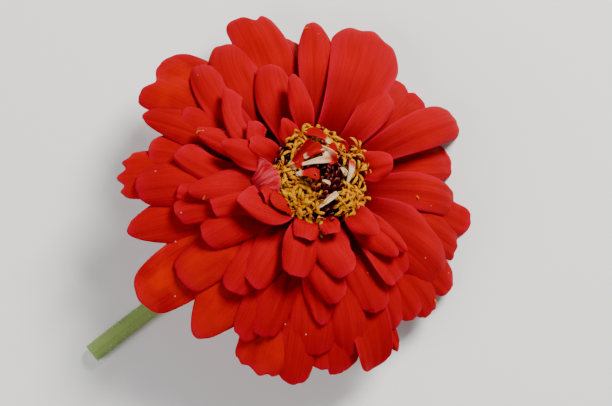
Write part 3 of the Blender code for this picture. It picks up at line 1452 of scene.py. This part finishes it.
@dataclass
class OpenFlorets:
    """The clusters of open florets.

    The rows of a cluster are given as radius, first and last azimuth in degrees, and how many
    florets stand in the row. Sizes, rises and leans are drawn between their limits.
    """

    palette: Palette
    seed: int = 12
    lobe: Lobe = Lobe()
    models: int = 4
    tube_sides: int = 10
    tube_radius: float = 0.5
    tube_length: float = 4.5
    tube_flare: Pair = (0.7, 1.3)
    tube_tint: Pair = (0.0, 0.3)
    tube_tone: float = 0.4
    lobes: int = 5
    lobe_sizes: Pair = (0.9, 1.1)
    lobe_swing: float = 0.2
    lobe_sink: float = 0.2
    stigma_size: float = 0.62
    stigma_slimness: float = 0.55
    stigma_rise: float = 0.5
    stigma_turn: float = 0.5
    sink: float = 1.0
    sizes: Pair = (0.9, 1.12)
    swing: float = 3.0
    shift: float = 0.4
    rise: Pair = (-0.5, 0.4)
    spread: float = 0.045
    lean: Pair = (-0.2, 0.3)
    clusters: Dict[str, Tuple[Tuple[float, float, float, int], ...]] = field(
        default_factory=lambda: {
            "left": (
                (5.2, 205, 246, 3),
                (7.0, 200, 256, 4),
                (8.6, 174, 254, 7),
                (10.1, 186, 236, 5),
                (12.2, 266, 270, 1),
            ),
            "top": (
                (10.3, 98, 112, 2),
                (9.0, 68, 84, 3),
                (8.3, 130, 142, 2),
                (6.6, 50, 94, 4),
                (9.6, 120, 128, 1),
            ),
            "right": (
                (7.2, 308, 336, 3),
                (8.8, 309, 340, 4),
                (10.5, 316, 336, 3),
                (11.4, 262, 262, 1),
                (8.4, 8, 14, 1),
                (7.4, 36, 46, 1),
                (11.8, 20, 37, 2),
            ),
        }
    )

    def _floret(self, rng: random.Random) -> Object:
        """Models one open floret: a tube, its rolled lobes and a forked stigma.

        Args:
            rng: What varies its lobes.

        Returns:
            The floret, standing at the origin.
        """
        deselect()
        bpy.ops.mesh.primitive_cylinder_add(
            vertices=self.tube_sides, radius=self.tube_radius * MM, end_fill_type="TRIFAN"
        )
        tube = added("floret_tube")
        shares = []
        for vert in tube.data.vertices:
            top = vert.co.z > 0
            wide = self.tube_flare[top]
            vert.co = Vector((vert.co.x * wide, vert.co.y * wide, 0.0 if top else -self.tube_length * MM))
            shares.append(self.tube_tint[top])
        mark_tissue(tube.data, along=shares, tone=self.tube_tone)
        parts = [tube]
        for index in range(self.lobes):
            lobe = self.lobe.model("floret_lobe", rng, rng.uniform(*self.lobe_sizes))
            turn = math.tau * index / self.lobes + rng.uniform(-self.lobe_swing, self.lobe_swing)
            root = Matrix.Translation(Vector((self.tube_radius, 0, -self.lobe_sink)) * MM)
            lobe.data.transform(Matrix.Rotation(turn, 4, "Z") @ root)
            parts.append(lobe)
        for side in (0.0, math.pi):
            branch = self.lobe.model("stigma_branch", rng, self.stigma_size)
            branch.data.transform(
                Matrix.Translation(Vector((0, 0, self.stigma_rise)) * MM)
                @ Matrix.Rotation(side + self.stigma_turn, 4, "Z")
                @ Matrix.Scale(self.stigma_slimness, 4, Vector((0, 1, 0)))
            )
            parts.append(branch)
        return finish_mesh(joined("floret_model", parts), (self.palette.floret,))

    def build(self) -> List[Object]:
        """Builds each cluster as one piece.

        Returns:
            The pieces.
        """
        rng = random.Random(self.seed)
        models = [self._floret(rng) for _ in range(self.models)]
        pieces = []
        for side, rows in self.clusters.items():
            parts = []
            for radius, first, last, count in rows:
                for index in range(count):
                    share = 0.5 if count == 1 else index / (count - 1)
                    swing = rng.uniform(-self.swing, self.swing)
                    azimuth = math.radians(blend((first, last), share) + swing)
                    reach = radius + rng.uniform(-self.shift, self.shift)
                    floret = copied(models[rng.randrange(len(models))])
                    floret.data.transform(Matrix.Scale(rng.uniform(*self.sizes), 4))
                    height = DOME.crown_height(reach) - self.sink + rng.uniform(*self.rise)
                    tilt = self.spread * reach + rng.uniform(*self.lean)
                    stand(floret, (reach, azimuth, height), tilt, rng.uniform(0, math.tau))
                    parts.append(floret)
            pieces.append(place_piece(joined(f"open_florets_{side}", parts), "floret", f"florets_{side}"))
        for model in models:
            bpy.data.objects.remove(model, do_unlink=True)
        return pieces


# Floret lobes that lie on petals: the petal's tier and number, the place across and along it, the
# turn in degrees and how slim the lobe has dried.
FALLEN: Tuple[Tuple[str, int, float, float, float, float], ...] = (
    ("upper", 6, 0.35, 0.84, 70.0, 1.0),
    ("upper", 2, 0.10, 0.92, 20.0, 1.0),
    ("rim", 22, 0.10, 0.94, 60.0, 0.9),
    ("rim", 1, -0.55, 0.48, 100.0, 1.0),
    ("rim", 6, -0.45, 0.80, 10.0, 0.4),
    ("rim", 6, 0.45, 0.88, 40.0, 0.6),
    ("lower", 2, 0.15, 0.86, 5.0, 0.4),
)


@dataclass
class FallenLobes:
    """The few floret lobes that have dropped onto the petals."""

    palette: Palette
    seed: int = 13
    lobe: Lobe = Lobe()
    size: float = 0.8
    lift: float = 0.55
    pitch: float = math.radians(62)
    step: Pair = (0.05, 0.02)

    def build(self) -> List[Object]:
        """Builds all the lobes as one piece.

        Returns:
            The one piece.
        """
        rng = random.Random(self.seed)
        parts = []
        for tier, number, across, along, turn, slim in FALLEN:
            petal = FRAMED[tier][number - 1]
            here = petal.place(across, along)
            ahead = (petal.place(across, along + self.step[1]) - here).normalized()
            normal = ahead.cross(petal.place(across + self.step[0], along) - here).normalized()
            lobe = self.lobe.model("fallen_lobe", rng, self.size)
            lobe.data.transform(Matrix.Diagonal((1, slim, 1, 1)) @ Matrix.Rotation(self.pitch, 4, "Y"))
            axes = Matrix((ahead, normal.cross(ahead), normal)).transposed().to_4x4()
            rest = Matrix.Translation(here + normal * self.lift * MM)
            lobe.data.transform(rest @ axes @ Matrix.Rotation(math.radians(turn), 4, "Z"))
            parts.append(lobe)
        return [place_piece(finish_mesh(joined("fallen_lobes", parts), (self.palette.floret,)), "floret")]


@dataclass(frozen=True)
class YoungRay:
    """A ray floret that has only just opened and leans over the disc.

    Its base and tip are given as radius, azimuth in degrees and height above the dome.
    """

    base: Triple
    tip: Triple
    width: float
    pale: float = 0.4
    arch: float = 0.8
    fold: float = 0.5
    stand: float = 0.0
    flare: float = 1.0
    lined: bool = False

    BASE_WIDTH = 0.4
    OPENING = 1.4
    NARROWS_AT = 0.75
    NARROWING = 2.2
    ROUNDING = 0.35
    EARLY_ARCH = 0.8
    CREASE = 1.4
    CLOSING = 0.6
    WAVE = 0.25
    DOME_REACH = 8.6

    def ends(self) -> List[Vector]:
        """Works out its base and its tip in the head's own space.

        Returns:
            The two points in mm.
        """
        return [
            polar(radius, math.radians(azimuth)) + UP * (DOME.height(min(radius, self.DOME_REACH)) + rise)
            for radius, azimuth, rise in (self.base, self.tip)
        ]

    def half_width(self, along: float) -> float:
        """Works out half the width at a share of the length.

        Args:
            along: From 0 at the base to 1 at the tip.

        Returns:
            Half the width in mm.
        """
        opened = blend((self.BASE_WIDTH, 1.0), smooth(along * self.OPENING))
        half = 0.5 * self.width * opened * blend((1.0, self.flare), along)
        return half * (1 - self.NARROWING * max(along - self.NARROWS_AT, 0) ** 1.5)


YOUNG_RAYS: Tuple[YoungRay, ...] = (
    YoungRay((7.6, 170, 0.6), (6.6, 108, 2.2), 6.4, pale=0.10, arch=1.8, fold=0.7, stand=26, flare=1.1),
    YoungRay((5.4, 150, 1.4), (4.6, 96, 2.4), 3.6, pale=0.12, arch=1.2, fold=1.0, stand=-20),
    YoungRay((5.4, 168, 1.6), (1.8, 66, 2.4), 2.0, pale=0.90, arch=0.7, fold=0.9, stand=-10),
    YoungRay((6.0, 104, 2.6), (2.4, 36, 1.8), 2.6, pale=0.62, arch=0.9, fold=0.7, stand=30, flare=1.3),
    YoungRay((6.4, 188, 1.0), (2.6, 232, 1.2), 3.2, pale=0.20, arch=1.3, fold=0.5, stand=-25, flare=1.2),
    YoungRay((5.9, 344, 0.3), (7.2, 30, 2.2), 2.3, pale=0.66, arch=0.9, fold=0.8, stand=35),
    YoungRay((8.1, 262, 1.6), (5.6, 303, 1.4), 1.5, pale=1.4, arch=0.5, fold=1.0),
    YoungRay((4.0, 18, 0.4), (5.0, 352, 1.2), 1.4, pale=1.3, arch=0.4, fold=1.0),
    YoungRay((7.0, 80, 2.2), (10.4, 112, 2.2), 3.6, pale=0.16, arch=1.2, fold=0.8, stand=25),
    YoungRay((8.4, 92, 2.6), (7.0, 76, 2.6), 1.0, pale=1.6, arch=0.4, fold=1.0),
    YoungRay((8.0, 86, 1.4), (5.6, 60, 1.2), 2.2, pale=0.08, arch=0.8, fold=0.5),
    YoungRay((9.4, 40, 1.0), (9.2, 64, 1.8), 2.2, pale=0.08, arch=0.9, fold=0.6),
    YoungRay((2.6, 250, 0.8), (3.4, 286, 1.3), 0.8, pale=1.8, arch=0.3, fold=1.0),
    YoungRay((14.8, 190, -1.5), (10.2, 185, 3.8), 10.0, arch=0.7, fold=-0.25, flare=1.1, lined=True),
    YoungRay((11.0, 238, 0.6), (12.6, 203, 3.0), 4.6, pale=0.06, arch=1.0, fold=-0.4, stand=25, flare=1.1),
)


@dataclass
class YoungRays:
    """The young rays that curl in over the disc."""

    palette: Palette
    rays: Tuple[YoungRay, ...] = YOUNG_RAYS
    cells: Tuple[int, int] = (14, 8)
    wall: float = 0.26
    color_reach: float = 0.45

    def _ray(self, name: str, ray: YoungRay) -> Object:
        """Models one young ray as a folded sheet between its base and its tip.

        Args:
            name: The piece's name.
            ray: Its place and shape.

        Returns:
            The piece.
        """
        sheet, shares = new_sheet(name, self.cells)
        base, tip = ray.ends()
        chord = tip - base
        heading = Vector((chord.x, chord.y, 0)).normalized()
        turn = math.radians(ray.stand)
        side = Vector((-heading.y, heading.x, 0)) * math.cos(turn) + UP * math.sin(turn)
        out = heading.cross(side)
        for vert, (across, along) in zip(sheet.data.vertices, shares):
            half = ray.half_width(along)
            back = ray.ROUNDING * half * across * across * along**3
            middle = base + chord * along - heading * back
            middle += UP * (ray.arch * math.sin(math.pi * along**ray.EARLY_ARCH))
            lift = ray.fold * half * abs(across) ** ray.CREASE
            lift += ray.WAVE * wander(along * 3, across * 2, ray.base[1])
            local = middle + side * across * half * math.cos(ray.CLOSING * ray.fold * across) + out * lift
            vert.co = POSE.matrix @ (local * MM)
        reached = (min(self.color_reach * along / ray.pale, 1.0) for _, along in shares)
        mark_tissue(sheet.data, along=reached, tone=ray.base[1] / 360)
        finish_mesh(sheet, (self.palette.lined if ray.lined else self.palette.young_ray,))
        thicken(sheet, self.wall, levels=1)
        return sheet

    def build(self) -> List[Object]:
        """Builds the young rays.

        Returns:
            The pieces.
        """
        return [
            place_piece(self._ray(f"young_ray_{number:02d}", ray), "petal")
            for number, ray in enumerate(self.rays, start=1)
        ]


# ---- Stem and bracts ----


# A ring of the stem: its middle, its radius in mm and the two directions that it is drawn in.
Ring = Tuple[Vector, float, Vector, Vector]


@dataclass
class Stem:
    """The stem and the receptacle at its end, which grew as one piece."""

    palette: Palette
    seed: int = 5
    receptacle: Tuple[Pair, ...] = (
        (15.0, 8.3), (14.2, 8.7), (9.0, 9.0), (3.0, 9.0), (0.5, 8.6), (-1.6, 7.3), (-3.5, 5.4), (-5.2, 3.5),
    )
    radius: float = 2.25
    neck_radius: float = 2.9
    azimuth: float = math.radians(214.0)
    end_turn: float = math.radians(5.0)
    neck_taper: float = 1.5
    neck_handle: float = 7.0
    foot_handle: float = 12.0
    foot_reach: float = 17.0
    run: float = 42.0
    head_rings: int = 20
    neck_rings: int = 30
    run_rings: int = 44
    sides: int = 36
    ridges: int = 9
    ridge_depth: float = 0.10
    hollow: float = 0.5
    cut_share: float = 0.9
    cut_steepness: float = 0.3
    cut_tint: float = 0.5
    hidden_rings: int = 13
    hidden_shade: float = 0.95
    tone: float = 0.2
    hairs: int = 420
    hair_sides: int = 4
    hair_radii: Pair = (0.07, 0.015)
    hair_tint: float = 0.1
    hair_tone: float = 0.5
    hair_length: Pair = (0.5, 1.1)
    hair_root: float = 0.1
    hair_clearance: float = 0.1
    hair_scatter: float = 0.5
    hair_lean: float = 0.35
    first_hairy_ring: int = 24

    def receptacle_radius(self, height: float) -> float:
        """Works out the receptacle's radius.

        Args:
            height: Height on the head's axis in mm.

        Returns:
            The radius in mm.
        """
        for (top, top_radius), (bottom, bottom_radius) in zip(self.receptacle, self.receptacle[1:]):
            if height >= bottom:
                return blend((bottom_radius, top_radius), (height - bottom) / (top - bottom))
        return self.receptacle[-1][1]

    def route(self) -> List[Tuple[Vector, float]]:
        """Works out the middle line.

        Returns:
            Points in the frame with the radius in mm at each, from the receptacle's top to the cut end.
        """
        axis = POSE.matrix.to_3x3() @ UP
        line = []
        top, bottom = self.receptacle[0][0], self.receptacle[-1][0]
        for step in range(self.head_rings + 1):
            height = blend((top, bottom), step / self.head_rings)
            line.append((POSE.matrix @ (UP * (height * MM)), self.receptacle_radius(height)))
        neck = line[-1][0]
        away = polar(1.0, self.azimuth)
        foot = Vector((neck.x, neck.y, self.radius * MM)) + away * self.foot_reach * MM
        corners = (neck, neck - axis * self.neck_handle * MM, foot - away * self.foot_handle * MM, foot)
        for step in range(1, self.neck_rings + 1):
            share = step / self.neck_rings
            weights = ((1 - share) ** 3, 3 * share * (1 - share) ** 2, 3 * share**2 * (1 - share), share**3)
            point = sum((corner * weight for corner, weight in zip(corners, weights)), Vector())
            line.append((point, blend((self.neck_radius, self.radius), smooth(share * self.neck_taper))))
        point = foot
        for step in range(1, self.run_rings + 1):
            heading = self.azimuth + self.end_turn * step / self.run_rings
            point = point + polar(1.0, heading) * self.run * MM / self.run_rings
            line.append((point, self.radius))
        return line

    def _rings(self, line: List[Tuple[Vector, float]]) -> List[Ring]:
        """Works out the ring at each point of the middle line, without any twist.

        Args:
            line: The middle line.

        Returns:
            The rings.
        """
        rings = []
        last = len(line) - 1
        normal = (POSE.matrix.to_3x3() @ Vector((1, 0, 0))).normalized()
        for index, (point, radius) in enumerate(line):
            ahead = line[min(index + 1, last)][0] - line[max(index - 1, 0)][0]
            ahead.normalize()
            normal = (normal - ahead * normal.dot(ahead)).normalized()
            rings.append((point, radius, normal.copy(), ahead.cross(normal)))
        return rings

    def build(self) -> List[Object]:
        """Builds the stem: a ring that is carried along its middle line, with ridges and fine hairs.

        Returns:
            The one piece.
        """
        rings = self._rings(self.route())
        last = len(rings) - 1
        deselect()
        bpy.ops.mesh.primitive_cylinder_add(vertices=self.sides, depth=1.0, end_fill_type="TRIFAN")
        stem = added("stem_and_receptacle")
        cut_rings(stem, last - 1)
        mesh = stem.data
        for corner in mesh.uv_layers[0].data:
            corner.uv = (corner.uv.y, corner.uv.x)
        shares = []
        for vert in mesh.vertices:
            index = min(max(round((0.5 - vert.co.z) * last), 0), last)
            point, radius, first, second = rings[index]
            flat = min(math.hypot(vert.co.x, vert.co.y), 1.0)
            turn = math.atan2(vert.co.y, vert.co.x)
            ridged = radius * (1 - self.ridge_depth * (0.5 + 0.5 * math.cos(self.ridges * turn))) * flat
            vert.co = point + (first * math.cos(turn) + second * math.sin(turn)) * ridged * MM
            if index == last:
                vert.co += first.cross(second) * (flat - 1) * self.hollow * MM
            # Rings hidden inside the head take the dark edge colour: painted shade where they show between
            # the petals' bases.
            shares.append(self.hidden_shade if index < self.hidden_rings else self.cut_tint * flat)
        mark_tissue(mesh, along=shares, tone=self.tone)
        finish_mesh(stem, (self.palette.stem, self.palette.cut))
        end = rings[-1][0]
        for face in mesh.polygons:
            near = (Vector(face.center) - end).length < self.cut_share * self.radius * MM
            if near and abs(face.normal.z) < self.cut_steepness:
                face.material_index = 1
        face_outwards(stem)
        return [place_piece(joined("stem_and_receptacle", [stem, *self._hairs(rings)]), "stem", "stem")]

    def _hairs(self, rings: List[Ring]) -> List[Object]:
        """Models the short stiff hairs of the stem.

        Args:
            rings: The stem's rings.

        Returns:
            The hairs, none of them in the surface that the stem lies on.
        """
        rng = random.Random(self.seed)
        deselect()
        wide, fine = (radius * MM for radius in self.hair_radii)
        bpy.ops.mesh.primitive_cone_add(vertices=self.hair_sides, radius1=wide, radius2=fine, depth=1.0 * MM)
        model = added("stem_hair")
        model.data.transform(Matrix.Translation(UP * ((0.5 - self.hair_root) * MM)))
        mark_tissue(model.data, along=self.hair_tint, tone=self.hair_tone)
        finish_mesh(model, (self.palette.cut,))
        hairs = []
        for _ in range(self.hairs):
            point, radius, first, second = rings[rng.randrange(self.first_hairy_ring, len(rings) - 1)]
            turn = rng.uniform(0, math.tau)
            outward = first * math.cos(turn) + second * math.sin(turn)
            place = point + outward * radius * (1 - 0.5 * self.ridge_depth) * MM
            place += second.cross(first) * rng.uniform(-self.hair_scatter, self.hair_scatter) * MM
            length = rng.uniform(*self.hair_length)
            pointing = outward + second.cross(first) * rng.uniform(0, self.hair_lean)
            if place.z + pointing.z * length * MM < self.hair_clearance * MM:
                continue
            hair = copied(model)
            turned = pointing.to_track_quat("Z", "Y").to_matrix().to_4x4()
            hair.data.transform(Matrix.Translation(place) @ turned @ Matrix.Scale(length, 4, UP))
            hairs.append(hair)
        bpy.data.objects.remove(model, do_unlink=True)
        return hairs


@dataclass
class Involucre:
    """The whorls of overlapping bracts under the head."""

    palette: Palette
    stem: Stem
    whorls: Tuple[Tuple[str, int, Tuple[Pair, ...]], ...] = (
        ("inner", 9, ((-2.2, 0.55), (-0.8, 0.55), (0.5, 0.6), (1.5, 0.75))),
        ("middle", 8, ((-4.2, 0.55), (-2.9, 1.25), (-1.4, 1.4), (-0.2, 1.7))),
        ("outer", 7, ((-5.6, 0.55), (-4.7, 1.25), (-3.6, 2.1), (-2.2, 2.5))),
    )
    cells: Tuple[int, int] = (9, 8)
    thickness: float = 0.4
    overlap: float = 1.22
    lift: float = 0.25
    base_lift: float = 0.4
    tone_step: float = 3.7
    rounding: float = 0.22
    waist: float = 0.35
    taper: float = 0.18

    def _bract(self, name: str, turn: float, spread: float, profile: Tuple[Pair, ...]) -> Object:
        """Models one bract that hugs the receptacle, with one edge over its neighbour.

        Args:
            name: The part's name.
            turn: Its azimuth in radians.
            spread: Half its width in radians.
            profile: Height and distance off the receptacle from base to rim, in mm.

        Returns:
            The part.
        """
        bract, shares = new_sheet(name, self.cells)
        last = len(profile) - 1
        for vert, (across, along) in zip(bract.data.vertices, shares):
            reach = along * (1 - self.rounding * across * across)
            index = min(int(reach * last), last - 1)
            share = reach * last - index
            height = blend((profile[index][0], profile[index + 1][0]), share)
            off = blend((profile[index][1], profile[index + 1][1]), share)
            off += self.lift * across * blend((self.base_lift, 1.0), along)
            radius = self.stem.receptacle_radius(height) + off
            wide = spread * (1 - self.waist * (1 - along)) * (1 - self.taper * along**4)
            vert.co = POSE.point(radius, turn + across * wide, height)
        mark_tissue(bract.data, along=(along for _, along in shares), tone=turn * self.tone_step % 1.0)
        finish_mesh(bract, (self.palette.bract,))
        thicken(bract, self.thickness)
        return bract

    def build(self) -> List[Object]:
        """Builds each whorl as one piece.

        Returns:
            The pieces.
        """
        pieces = []
        for whorl, count, profile in self.whorls:
            spread = self.overlap * math.pi / count
            turns = (math.tau * index / count for index in range(count))
            parts = [self._bract(f"bract_{whorl}", turn, spread, profile) for turn in turns]
            pieces.append(place_piece(joined(f"involucre_{whorl}", parts), "bract", f"bracts_{whorl}"))
        return pieces


# ---- Stage ----


@dataclass(frozen=True)
class SoftLight:
    """A square area light: its place and side in metres, its power in watts and its colour."""

    name: str
    place: Triple
    side: float
    power: float
    color: Triple


@dataclass
class Stage:
    """The pale surface, the soft lights and the camera over the bloom."""

    palette: Palette
    floor_size: float = 3.0
    surround: Color = (0.95, 0.97, 1.0, 1)
    surround_strength: float = 0.18
    lights: Tuple[SoftLight, ...] = (
        SoftLight("key", (0.30, 0.34, 0.52), 0.26, 8.5, (1.0, 0.97, 0.93)),
        SoftLight("fill", (-0.45, -0.30, 0.50), 0.40, 3.2, (0.97, 0.98, 1.0)),
    )
    elevation: float = math.radians(80.0)
    lens: float = 100.0
    sensor: float = 36.0
    frame_width: float = 135.6
    disc_height: float = 20.0
    right_of_middle: float = 4.3
    above_middle: float = 7.2
    clip_start: float = 0.01

    def build_floor(self) -> None:
        """Lays the surface under the flower."""
        deselect()
        bpy.ops.mesh.primitive_plane_add(size=self.floor_size)
        floor = finish_mesh(added("surface"), (self.palette.floor,))

    def build_light(self, light: SoftLight) -> None:
        """Adds one light that looks at the bloom.

        Args:
            light: The light.
        """
        data = bpy.data.lights.new(light.name, "AREA")
        data.shape = "SQUARE"
        data.size = light.side
        data.energy = light.power
        data.color = light.color
        obj = bpy.data.objects.new(light.name, data)
        bpy.context.scene.collection.objects.link(obj)
        obj.location = light.place
        obj.rotation_euler = (POSE.place - obj.location).to_track_quat("-Z", "Y").to_euler()

    def build_world(self) -> None:
        """Gives the studio an even pale surround."""
        world = bpy.data.worlds.new("studio")
        world.use_nodes = True
        background = world.node_tree.nodes["Background"]
        background.inputs["Color"].default_value = self.surround
        background.inputs["Strength"].default_value = self.surround_strength
        bpy.context.scene.world = world

    def build_camera(self) -> None:
        """Sets the camera over the face of the bloom."""
        data = bpy.data.cameras.new("camera")
        data.lens = self.lens
        data.sensor_width = self.sensor
        data.clip_start = self.clip_start
        camera = bpy.data.objects.new("camera", data)
        bpy.context.scene.collection.objects.link(camera)
        back = Vector((0, -math.cos(self.elevation), math.sin(self.elevation)))
        up = Vector((0, math.sin(self.elevation), math.cos(self.elevation)))
        disc = POSE.point(0.0, 0.0, self.disc_height)
        middle = disc - Vector((1, 0, 0)) * self.right_of_middle * MM - up * self.above_middle * MM
        camera.location = middle + back * (self.frame_width * MM * self.lens / self.sensor)
        camera.rotation_euler = (math.pi / 2 - self.elevation, 0.0, 0.0)
        bpy.context.scene.camera = camera

    def build(self) -> None:
        """Builds the stage."""
        self.build_floor()
        self.build_world()
        for light in self.lights:
            self.build_light(light)
        self.build_camera()


def main() -> None:
    """Builds the flower and its stage."""
    logging.basicConfig(level=logging.INFO, format="%(name)s: %(message)s")
    palette = Palette.make()
    stem = Stem(palette)
    assemblies = (
        RayFlorets(palette),
        Chaff(palette),
        OpenFlorets(palette),
        FallenLobes(palette),
        YoungRays(palette),
        stem,
        Involucre(palette, stem),
    )
    for assembly in assemblies:
        for piece in assembly.build():
            LOG.info("%s: %d faces", piece.name, len(piece.data.polygons))
    Stage(palette).build()


if __name__ == "__main__":
    main()
